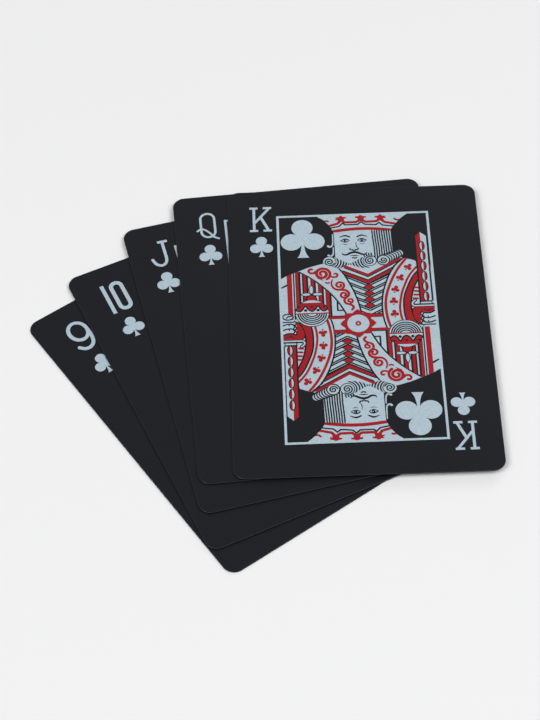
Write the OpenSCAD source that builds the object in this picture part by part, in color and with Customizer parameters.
// Five playing cards of the suit of clubs, from nine to king, laid face up in a fan.
// A card is a plastic sheet with a white ink film on its face.
// The court cards carry a second, red film printed over the white one.

/* [Card] */
// Width of a card
card_w = 63; // [58:0.5:72]
// Length of a card
card_h = 88; // [82:0.5:100]
// Thickness of the plastic sheet
card_t = 0.3; // [0.2:0.01:0.6]
// Radius of the card's corners
corner_r = 3; // [1.5:0.1:5]

/* [Print] */
// Thickness of the white ink film
white_t = 0.02; // [0.01:0.005:0.04]
// Thickness of the red ink film over the white one
red_t = 0.01; // [0.005:0.005:0.03]

/* [Number cards] */
// Height of a club on the nine and the ten
pip_h = 12; // [8:0.1:13]
// Distance between the two columns of clubs
pip_spacing_w = 21; // [16:0.5:24]
// Distance between the first and the last row of clubs
pip_spacing_h = 60; // [54:0.5:64]
// Height of the small club under a figure
number_index_h = 6.3; // [4:0.1:7]
// Distance of that club from the card's side edge to its middle
number_index_side = 9.5; // [8:0.1:10]
// Distance of that club from the card's end edge to its middle
number_index_end = 20.7; // [19:0.1:22]

/* [Court cards] */
// Height of the small club under a letter
court_index_h = 6.7; // [4:0.1:8]
// Distance of that club from the card's side edge to its middle
court_index_side = 8.3; // [6:0.1:9]
// Distance of that club from the card's end edge to its middle
court_index_end = 18.7; // [16:0.1:21]
// Width of the framed panel
panel_w = 38.5; // [36:0.5:41]
// Height of the framed panel
panel_h = 70.5; // [68:0.5:74]
// Width of the frame line
frame_line = 0.6; // [0.3:0.05:1]
// Height of the club beside a court figure
court_club_h = 12.7; // [10:0.1:13.5]
// Width of a broad red line
broad_line = 0.75; // [0.5:0.05:1]
// Width of a fine red line
fine_line = 0.45; // [0.3:0.05:0.6]
// Width of a bare line, where the black sheet shows between printed forms
bare_line = 0.3; // [0.2:0.05:0.35]
// Radius of the medallion between the two halves of the king
medallion_r = 4.35; // [3.6:0.05:4.8]
// Radius of the king's orb
orb_r = 4; // [3.4:0.1:4.4]
// Radius of a hair or beard curl
curl_r = 1.5; // [1:0.1:1.8]

/* [Fan] */
// Air between a print and the card that lies on it
air_gap = 0.04; // [0.02:0.01:0.3]
// Turn of the ten on the nine, in degrees
ten_turn = 10.24; // [0:0.01:25]
// Turn of the jack on the ten, in degrees
jack_turn = 10.87; // [0:0.01:25]
// Turn of the queen on the jack, in degrees
queen_turn = 8.72; // [0:0.01:25]
// Turn of the king on the queen, in degrees
king_turn = 4.03; // [0:0.01:12]
// Turning point of the ten, right of a card's middle
ten_pivot_x = 11.6; // [0:0.1:30]
// Turning point of the ten, below a card's middle
ten_pivot_y = 38.8; // [20:0.1:60]
// Turning point of the jack, right of a card's middle
jack_pivot_x = 20.9; // [0:0.1:30]
// Turning point of the jack, below a card's middle
jack_pivot_y = 49.9; // [20:0.1:60]
// Turning point of the queen, right of a card's middle
queen_pivot_x = 21; // [0:0.1:30]
// Turning point of the queen, below a card's middle
queen_pivot_y = 49; // [20:0.1:60]
// Turning point of the king, left of a card's middle
king_pivot_x = 22.4; // [0:0.1:40]
// Turning point of the king, far below a card's middle
king_pivot_y = 157; // [60:1:200]

/* [Hidden] */
$fn = 48;
// Sides of a circle in the small forms of the court prints
small_sides = 20;

// Places of the five cards in the stack
nine = 0;
ten = 1;
jack = 2;
queen = 3;
king = 4;
stock = [0.14, 0.148, 0.165];
white_ink = [0.78, 0.84, 0.88];
red_ink = [0.7, 0.12, 0.15];

// Fan: each card is the one below it, turned clockwise about a shared turning point
turns = [0, ten_turn, jack_turn, queen_turn, king_turn];
pivots = [[0, 0], [ten_pivot_x, -ten_pivot_y], [jack_pivot_x, -jack_pivot_y],
    [queen_pivot_x, -queen_pivot_y], [-king_pivot_x, -king_pivot_y]];
pitch = card_t + white_t + red_t + air_gap;
function turned(v, a) = [v[0] * cos(a) - v[1] * sin(a), v[0] * sin(a) + v[1] * cos(a)];
function angle_of(card) = card == nine ? ten_turn + jack_turn + queen_turn + king_turn
    : angle_of(card - 1) - turns[card];
function centre_of(card) = card == nine ? [0, 0]
    : centre_of(card - 1) + turned(pivots[card], angle_of(card - 1)) - turned(pivots[card], angle_of(card));
// Half extent of a turned card with round corners, along X and along Y
function reach_of(card) = let (a = angle_of(card), x = card_w / 2 - corner_r, y = card_h / 2 - corner_r)
    [abs(cos(a)) * x + abs(sin(a)) * y + corner_r, abs(sin(a)) * x + abs(cos(a)) * y + corner_r];
lows = [for (c = [nine:king]) centre_of(c) - reach_of(c)];
highs = [for (c = [nine:king]) centre_of(c) + reach_of(c)];
middle = [for (k = [0, 1]) (min([for (v = lows) v[k]]) + max([for (v = highs) v[k]])) / 2];

// Seats its children on a card of the stack, at a height above that card's underside
module on_card(card, height) {
    place = centre_of(card) - middle;
    translate([place[0], place[1], card * pitch + height]) rotate(angle_of(card)) children();
}

// Draws its children at both ends of a card, the second time upside down
module both_ends() {
    children();
    rotate(180) children();
}

// Plastic sheet with round corners
module sheet() {
    linear_extrude(card_t) {
        square([card_w, card_h - 2 * corner_r], center = true);
        square([card_w - 2 * corner_r, card_h], center = true);
        for (x = [-1, 1], y = [-1, 1])
            translate([x * (card_w / 2 - corner_r), y * (card_h / 2 - corner_r)]) circle(corner_r);
    }
}

// Line work: shares of half a panel become points, and points become curves and bands
bow_steps = 10;
function spread(shares) = [for (s = shares) [s[0] * panel_w / 2, s[1] * panel_h / 2]];
function unit(v) = v / norm(v);
// Points of a curve from a to b that stands off their chord, to the left of the way from a to b
function bow(a, b, rise) = let (run = b - a, side = unit([-run[1], run[0]]))
    [for (i = [0:bow_steps]) let (t = i / bow_steps) a + run * t + side * rise * 4 * t * (1 - t)];
function bowed(shares, rise_share) = let (p = spread(shares)) bow(p[0], p[1], rise_share * panel_w);
// Sideways step at a point of a path, mitred so that a band keeps its width round a corner
function side_at(p, i) = let (j = max(i, 1), k = min(i + 1, len(p) - 1),
    u = unit(p[j] - p[j - 1]), v = unit(p[k] - p[k - 1]), h = unit(u + v)) [-h[1], h[0]] / (h * u);
function band(p, width) = let (n = len(p) - 1)
    concat([for (i = [0:n]) p[i] + side_at(p, i) * width / 2],
        [for (i = [n:-1:0]) p[i] - side_at(p, i) * width / 2]);
function back(p) = [for (i = [len(p) - 1:-1:0]) p[i]];
module stroke(p, width) {
    polygon(band(p, width));
}

// Points of a curl that winds inwards about the origin
spiral_steps = 10;
function spiral(outer_r, inner_r, start, turns) = let (n = ceil(abs(turns) * spiral_steps))
    [for (i = [0:n]) let (t = i / n, r = outer_r + (inner_r - outer_r) * t, a = start + turns * 360 * t)
        [r * cos(a), r * sin(a)]];

// Star with straight points, first point upwards
module star(points, outer_r, inner_r) {
    polygon([for (i = [0:2 * points - 1]) let (r = i % 2 == 0 ? outer_r : inner_r, a = 90 + i * 180 / points)
        [r * cos(a), r * sin(a)]]);
}

// Club: three round leaves on a stem whose sides curve out to a flat foot
leaf_r_share = 0.22;
leaf_side_share = 0.212;
leaf_low_share = 0.085;
leaf_high_share = 0.28;
foot_half_share = 0.118;
neck_half_share = 0.032;
stem_top_share = 0.12;
core_r_share = 0.09;
core_high_share = 0.05;
module club(height) {
    foot_half = height * foot_half_share;
    neck_half = height * neck_half_share;
    stem_h = height / 2 - height * stem_top_share;
    flare = foot_half - neck_half;
    hollow_r = (flare * flare + stem_h * stem_h) / (2 * flare);
    translate([0, height * leaf_high_share]) circle(height * leaf_r_share);
    translate([0, height * core_high_share]) circle(height * core_r_share);
    for (side = [-1, 1])
        translate([side * height * leaf_side_share, -height * leaf_low_share]) circle(height * leaf_r_share);
    difference() {
        translate([-foot_half, -height / 2]) square([2 * foot_half, height / 2]);
        for (side = [-1, 1])
            translate([side * (neck_half + hollow_r), -height * stem_top_share]) circle(hollow_r);
    }
}

// Small clubs under the two indices of a card
module number_index_clubs() {
    both_ends()
        translate([number_index_side - card_w / 2, card_h / 2 - number_index_end]) club(number_index_h);
}
module court_index_clubs() {
    both_ends()
        translate([court_index_side - card_w / 2, card_h / 2 - court_index_end]) club(court_index_h);
}

// Clubs of a number card: two columns of four, the lower half upside down
row_shares = [-1, -1 / 3, 1 / 3, 1];
module pip_grid() {
    for (side = [-1, 1], row = row_shares)
        translate([side * pip_spacing_w / 2, row * pip_spacing_h / 2]) rotate(row > 0 ? 0 : 180) club(pip_h);
}

// Frame line and the two clubs inside it, shared by the court cards
corner_club_shares = [-0.655, 0.78];
module court_frame() {
    difference() {
        square([panel_w, panel_h], center = true);
        square([panel_w - 2 * frame_line, panel_h - 2 * frame_line], center = true);
    }
    both_ends() translate(spread([corner_club_shares])[0]) club(court_club_h);
}

// King, white film of one half: robe to the frame, beard curls, head, crown and sword
king_left_shares = [[-1, 0], [-1, 0.42], [-0.76, 0.48], [-0.72, 0.48]];
king_shoulder_shares = [[-0.72, 0.48], [-0.4, 0.55]];
king_cheek_shares = [[-0.25, 0.57], [-0.25, 0.835]];
king_crown_left_shares = [[-0.25, 0.835], [-0.455, 0.985]];
king_crown_right_shares = [[0.73, 0.985], [0.5, 0.835]];
king_right_shares = [[0.505, 0.655], [0.61, 0.65], [0.64, 0.595], [0.63, 0.565], [0.68, 0.565], [0.79, 0.545],
    [0.79, 0.48], [1, 0.48], [1, 0]];
king_shoulder_rise_share = 0.012;
king_crown_rise_share = 0.015;
king_curl_shares = [[-0.32, 0.56], [0.195, 0.56], [0.37, 0.56]];
king_blade_shares = [[0.808, 0.177], [0.808, 0.776], [0.875, 0.804], [0.945, 0.767], [0.945, 0.177]];
module king_white() {
    polygon(concat(spread(king_left_shares), bowed(king_shoulder_shares, king_shoulder_rise_share),
        spread(king_cheek_shares), bowed(king_crown_left_shares, -king_crown_rise_share),
        bowed(king_crown_right_shares, -king_crown_rise_share), spread(king_right_shares)));
    for (p = spread(king_curl_shares)) translate(p) circle(curl_r);
    polygon(spread(king_blade_shares));
}

// King, red film of one half
king_band_shares = [[-0.25, 0.838], [0.5, 0.832]];
king_band_rise_share = 0.018;
king_points_shares = [[-0.29, 0.895], [-0.19, 0.91], [-0.14, 0.937], [-0.09, 0.92], [0.06, 0.92],
    [0.12, 0.94], [0.18, 0.92], [0.32, 0.92], [0.38, 0.94], [0.43, 0.905], [0.56, 0.89]];
king_star_shares = [[-0.138, 0.958], [0.122, 0.958], [0.382, 0.958]];
star_points = 5;
star_r_share = 0.029;
star_inner_share = 0.0145;
king_collar_shares = [[-0.127, 0.51], [0.153, 0.43], [0.582, 0.573]];
king_bodice_shares = [[-0.145, 0.45], [0.153, 0.37], [0.47, 0.48]];
king_lozenge_shares = [[0.156, 0.318], [0.156, 0.264], [0.156, 0.211], [0.156, 0.155]];
lozenge_half_shares = [0.052, 0.024];
module lozenge(grown) {
    half = spread([lozenge_half_shares])[0];
    w = half[0] + grown;
    h = half[1] + grown;
    polygon([[-w, 0], [0, h], [w, 0], [0, -h]]);
}
module king_head_red() {
    stroke(bowed(king_band_shares, king_band_rise_share), broad_line);
    stroke(spread(king_points_shares), fine_line);
    for (p = spread(king_star_shares))
        translate(p) star(star_points, panel_w * star_r_share, panel_w * star_inner_share);
    stroke(spread(king_collar_shares), broad_line);
    stroke(spread(king_bodice_shares), broad_line);
    for (p = spread(king_lozenge_shares)) translate(p) lozenge(0);
}

// Hem of the king's robe: two red lines with clubs between them, and the red lining behind
hem_outer_shares = [[0.657, 0.56], [0.4, -0.02]];
hem_inner_shares = [[0.787, 0.478], [0.569, 0.016]];
lining_outer_shares = [[0.79, 0.42], [0.623, 0.02]];
lining_inner_shares = [[0.686, 0.02], [0.787, 0.36]];
hem_outer_rise_share = 0.068;
hem_inner_rise_share = 0.053;
lining_outer_rise_share = 0.045;
lining_inner_rise_share = 0.023;
hem_club_shares = [[0.686, 0.487], [0.574, 0.393], [0.501, 0.291], [0.4675, 0.186], [0.465, 0.075]];
hem_club_leans = [-38, -33, -17, -3, 4];
hem_club_h_share = 0.06;
module king_hem_red() {
    stroke(bowed(hem_outer_shares, -hem_outer_rise_share), fine_line);
    stroke(bowed(hem_inner_shares, -hem_inner_rise_share), fine_line);
    polygon(concat(bowed(lining_outer_shares, -lining_outer_rise_share),
        bowed(lining_inner_shares, lining_inner_rise_share)));
    places = spread(hem_club_shares);
    for (i = [0:len(places) - 1])
        translate(places[i]) rotate(hem_club_leans[i]) club(panel_w * hem_club_h_share, $fn = small_sides);
}

// Sleeve of the king: upright stripes below the shoulder, cleared round the orb
sleeve_shares = [[-1, 0.1], [-1, 0.41], [-0.76, 0.47], [-0.72, 0.465]];
sash_edge_shares = [[-0.72, 0.465], [-0.15, 0.1]];
sash_edge_rise_share = 0.035;
stripe_shares = [-0.855, -0.75, -0.652, -0.556, -0.46, -0.371];
stripe_w_share = 0.023;
orb_place_shares = [-0.579, 0.1];
// Clear ring between the orb and the stripes
orb_gap = 0.35;
orb_belt_share = 0.2;
module sleeve() {
    difference() {
        polygon(concat(spread(sleeve_shares), bowed(sash_edge_shares, sash_edge_rise_share)));
        translate(spread([orb_place_shares])[0]) circle(orb_r + orb_gap);
    }
}
module king_sleeve_red() {
    orb_at = spread([orb_place_shares])[0];
    stripe_w = panel_w * stripe_w_share;
    intersection() {
        sleeve();
        for (s = stripe_shares)
            translate([s * panel_w / 2 - stripe_w / 2, 0]) square([stripe_w, panel_h / 2]);
    }
    intersection() {
        translate(orb_at) circle(orb_r);
        translate(orb_at + [-orb_r, orb_r * orb_belt_share]) square([2 * orb_r, orb_r]);
    }
}

// Sash of the king: four red scrolls on one winding stem
scroll_place_shares = [[-0.42, 0.453], [-0.209, 0.3455], [-0.157, 0.259], [-0.087, 0.2037]];
scroll_r_shares = [0.053, 0.0325, 0.026, 0.02];
scroll_eye_share = 0.25;
scroll_starts = [-58, -60, -70, -80];
scroll_turns = [1.6, 1.2, -0.95, 1];
scroll_stem_shares = [[[-0.34, 0.395], [-0.177, 0.315]], [[-0.177, 0.315], [-0.14, 0.2325]],
    [[-0.14, 0.2325], [-0.08, 0.182]]];
scroll_stem_rise_shares = [-0.025, 0.025, -0.018];
module king_sash_red() {
    places = spread(scroll_place_shares);
    for (i = [0:len(places) - 1]) {
        r = panel_w * scroll_r_shares[i];
        translate(places[i])
            stroke(spiral(r, r * scroll_eye_share, scroll_starts[i], scroll_turns[i]), fine_line);
    }
    for (i = [0:len(scroll_stem_shares) - 1])
        stroke(bowed(scroll_stem_shares[i], scroll_stem_rise_shares[i]), fine_line);
}

// Red half of the sword's blade
king_blade_red_shares = [[0.808, 0.19], [0.808, 0.776], [0.875, 0.804], [0.875, 0.19]];
module king_red() {
    king_head_red();
    difference() {
        king_hem_red();
        translate(-spread([orb_place_shares])[0]) circle(orb_r + orb_gap);
    }
    king_sleeve_red();
    king_sash_red();
    polygon(spread(king_blade_red_shares));
}

// King, bare lines of one half: edges of sash and robe, laced front, sleeve, orb, curls and hair
sash_right_shares = [[-0.213, 0.502], [0.034, 0.108]];
sash_right_rise_share = 0.019;
robe_edge_shares = [[0.605, 0.56], [0.345, 0]];
robe_edge_rise_share = 0.066;
cord_foot_shares = [0.338, 0.284, 0.229, 0.174];
cord_half_share = 0.32;
cord_climb_share = 0.088;
// Distance between the two lines of a cord
cord_gap = 0.6;
orb_rings = 5;
orb_ring_share = 0.155;
curl_starts = [-20, 60, 200];
curl_turns = [-1.5, 1.5, 1.5];
curl_eye_share = 0.2;
hair_shares = [0.29, 0.325, 0.36, 0.395, 0.43, 0.465];
hair_foot_share = 0.65;
hair_top_share = 0.81;
module king_front_lines() {
    axis = king_lozenge_shares[0][0];
    difference() {
        union() {
            intersection() {
                polygon(concat(bowed(sash_right_shares, sash_right_rise_share),
                    back(bowed(robe_edge_shares, -robe_edge_rise_share))));
                for (foot = cord_foot_shares, lift = [-1, 1])
                    translate([0, lift * cord_gap / 2])
                        stroke(spread([[axis - cord_half_share, foot + cord_climb_share], [axis, foot],
                            [axis + cord_half_share, foot + cord_climb_share]]), bare_line);
            }
            for (p = spread(king_lozenge_shares)) translate(p) lozenge(bare_line);
        }
        for (p = spread(king_lozenge_shares)) translate(p) lozenge(0);
    }
}
module king_sleeve_lines() {
    stripe_w = panel_w * stripe_w_share;
    intersection() {
        sleeve();
        for (s = stripe_shares)
            translate([s * panel_w / 2 + stripe_w / 2, 0]) square([bare_line, panel_h / 2]);
    }
    translate(spread([orb_place_shares])[0]) {
        difference() {
            circle(orb_r + bare_line);
            circle(orb_r);
        }
        intersection() {
            translate([-orb_r, -orb_r]) square([2 * orb_r, orb_r]);
            for (i = [1:orb_rings])
                difference() {
                    circle(i * orb_r * orb_ring_share + bare_line / 2, $fn = small_sides);
                    circle(i * orb_r * orb_ring_share - bare_line / 2, $fn = small_sides);
                }
        }
    }
}
module king_hair_lines() {
    places = spread(king_curl_shares);
    for (i = [0:len(places) - 1])
        translate(places[i])
            stroke(spiral(curl_r - bare_line, curl_r * curl_eye_share, curl_starts[i], curl_turns[i]),
                bare_line);
    for (s = hair_shares) stroke(spread([[s, hair_foot_share], [s, hair_top_share]]), bare_line);
}
module king_lines() {
    difference() {
        union() {
            stroke(bowed(sash_edge_shares, sash_edge_rise_share), bare_line);
            stroke(bowed(sash_right_shares, sash_right_rise_share), bare_line);
            stroke(bowed(robe_edge_shares, -robe_edge_rise_share), bare_line);
            king_front_lines();
            king_sleeve_lines();
        }
        circle(medallion_r);
    }
    king_hair_lines();
}

// Belt and medallion where the two halves of a court figure meet
belt_shares = [[0.16, 0.075], [0.3, 0.075]];
belt_low_shares = [[0.16, -0.052], [0.34, -0.052]];
king_medallion_points = 8;
queen_medallion_points = 6;
medallion_inner_share = 0.8;
medallion_hole_share = 0.61;
eye_share = 0.15;
eye_hole_share = 0.07;
module medallion(points) {
    difference() {
        star(points, medallion_r, medallion_r * medallion_inner_share);
        circle(medallion_r * medallion_hole_share);
    }
    difference() {
        circle(medallion_r * eye_share);
        circle(medallion_r * eye_hole_share);
    }
}
module belt() {
    both_ends() {
        stroke(spread(belt_shares), broad_line);
        stroke(spread(belt_low_shares), broad_line);
    }
}

// Queen, white film of one half: mantle, hair and crown
queen_left_shares = [[-1, 0], [-1, 0.33]];
queen_mantle_left_shares = [[-1, 0.33], [-0.28, 0.53]];
queen_hair_left_shares = [[-0.28, 0.53], [-0.2, 0.8]];
queen_crown_shares = [[-0.33, 0.985], [0.57, 0.985], [0.44, 0.8]];
queen_hair_right_shares = [[0.44, 0.8], [0.52, 0.53]];
queen_mantle_right_shares = [[0.52, 0.53], [1, 0.4]];
queen_mantle_rise_share = 0.03;
queen_hair_rise_share = 0.03;
module queen_white() {
    polygon(concat(spread(queen_left_shares), bowed(queen_mantle_left_shares, queen_mantle_rise_share),
        bowed(queen_hair_left_shares, queen_hair_rise_share), spread(queen_crown_shares),
        bowed(queen_hair_right_shares, queen_hair_rise_share),
        bowed(queen_mantle_right_shares, queen_mantle_rise_share), [[panel_w / 2, 0]]));
}

// Queen, red film of one half: crown, neckline, mantle hems and a rose
queen_band_shares = [[-0.2, 0.825], [0.44, 0.825]];
queen_band_rise_share = 0.012;
queen_points_shares = [[-0.28, 0.95], [-0.17, 0.885], [-0.03, 0.95], [0.12, 0.885], [0.27, 0.95],
    [0.41, 0.885], [0.52, 0.95]];
queen_neck_shares = [[-0.2, 0.5], [0.12, 0.4], [0.44, 0.5]];
queen_hem_left_shares = [[-0.97, 0.25], [-0.24, 0.06]];
queen_hem_right_shares = [[0.48, 0.06], [0.97, 0.3]];
queen_hem_rise_share = 0.09;
queen_lace_shares = [[0.12, 0.34], [0.12, 0.28], [0.12, 0.22], [0.12, 0.16]];
rose_place_shares = [-0.62, 0.32];
rose_petals = 5;
rose_r_share = 0.034;
petal_r_share = 0.026;
module queen_red() {
    stroke(bowed(queen_band_shares, queen_band_rise_share), broad_line);
    stroke(spread(queen_points_shares), fine_line);
    stroke(spread(queen_neck_shares), broad_line);
    stroke(bowed(queen_hem_left_shares, queen_hem_rise_share), broad_line);
    stroke(bowed(queen_hem_right_shares, queen_hem_rise_share), broad_line);
    for (p = spread(queen_lace_shares)) translate(p) lozenge(0);
    translate(spread([rose_place_shares])[0])
        for (i = [0:rose_petals - 1])
            rotate(i * 360 / rose_petals)
                translate([0, panel_w * rose_r_share]) circle(panel_w * petal_r_share);
}

// Jack, white film of one half: tunic, hair roll and flat cap
jack_left_shares = [[-1, 0], [-1, 0.36], [-0.3, 0.52], [-0.3, 0.56]];
jack_cap_left_shares = [[-0.24, 0.6], [-0.24, 0.8], [-0.34, 0.83]];
jack_cap_shares = [[-0.34, 0.83], [0.62, 0.86]];
jack_cap_right_shares = [[0.48, 0.8], [0.52, 0.6], [0.56, 0.56], [0.56, 0.52], [1, 0.4], [1, 0]];
jack_cap_rise_share = 0.12;
jack_curl_shares = [[-0.26, 0.58], [0.52, 0.58]];
module jack_white() {
    polygon(concat(spread(jack_left_shares), spread(jack_cap_left_shares),
        bowed(jack_cap_shares, jack_cap_rise_share), spread(jack_cap_right_shares)));
    for (p = spread(jack_curl_shares)) translate(p) circle(curl_r);
}

// Jack, red film of one half: cap brim, feather, collar, tunic stripes and sash
jack_brim_shares = [[-0.24, 0.815], [0.48, 0.825]];
jack_brim_rise_share = 0.012;
jack_feather_shares = [[0.4, 0.85], [-0.1, 0.93]];
jack_feather_rise_share = 0.03;
jack_collar_shares = [[-0.2, 0.52], [0.14, 0.44], [0.48, 0.52]];
jack_sash_shares = [[-0.62, 0.42], [0.2, 0.1]];
jack_sash_w_share = 0.07;
jack_stripe_shares = [0.5, 0.62, 0.74, 0.86];
jack_stripe_top_share = 0.36;
jack_stripe_foot_share = 0.1;
module jack_red() {
    stroke(bowed(jack_brim_shares, jack_brim_rise_share), broad_line);
    stroke(bowed(jack_feather_shares, -jack_feather_rise_share), broad_line);
    stroke(spread(jack_collar_shares), broad_line);
    stroke(spread(jack_sash_shares), panel_w * jack_sash_w_share);
    for (s = jack_stripe_shares)
        stroke(spread([[s, jack_stripe_foot_share], [s, jack_stripe_top_share]]), panel_w * stripe_w_share);
}

// The five sheets
module card_nine() {
    color(stock) on_card(nine, 0) sheet();
}
module card_ten() {
    color(stock) on_card(ten, 0) sheet();
}
module card_jack() {
    color(stock) on_card(jack, 0) sheet();
}
module card_queen() {
    color(stock) on_card(queen, 0) sheet();
}
module card_king() {
    color(stock) on_card(king, 0) sheet();
}

// The white prints
module nine_print() {
    color(white_ink) on_card(nine, card_t) linear_extrude(white_t) {
        pip_grid();
        club(pip_h);
        number_index_clubs();
    }
}
module ten_print() {
    color(white_ink) on_card(ten, card_t) linear_extrude(white_t) {
        pip_grid();
        both_ends() translate([0, pip_spacing_h / 3]) club(pip_h);
        number_index_clubs();
    }
}
module jack_print() {
    color(white_ink) on_card(jack, card_t) linear_extrude(white_t) {
        court_frame();
        court_index_clubs();
        both_ends() jack_white();
    }
}
module queen_print() {
    color(white_ink) on_card(queen, card_t) linear_extrude(white_t) {
        court_frame();
        court_index_clubs();
        both_ends() queen_white();
    }
}
module king_print() {
    color(white_ink) on_card(king, card_t) linear_extrude(white_t) {
        court_frame();
        court_index_clubs();
        difference() {
            both_ends() king_white();
            both_ends() king_lines();
        }
    }
}

// The red prints over the white ones
module jack_red_print() {
    color(red_ink) on_card(jack, card_t + white_t) linear_extrude(red_t) {
        both_ends() jack_red();
    }
}
module queen_red_print() {
    color(red_ink) on_card(queen, card_t + white_t) linear_extrude(red_t) {
        medallion(queen_medallion_points);
        both_ends() queen_red();
    }
}
module king_red_print() {
    color(red_ink) on_card(king, card_t + white_t) linear_extrude(red_t) {
        medallion(king_medallion_points);
        difference() {
            union() {
                belt();
                both_ends() king_red();
            }
            both_ends() king_lines();
        }
    }
}

card_nine();
card_ten();
card_jack();
card_queen();
card_king();
nine_print();
ten_print();
jack_print();
queen_print();
king_print();
jack_red_print();
queen_red_print();
king_red_print();
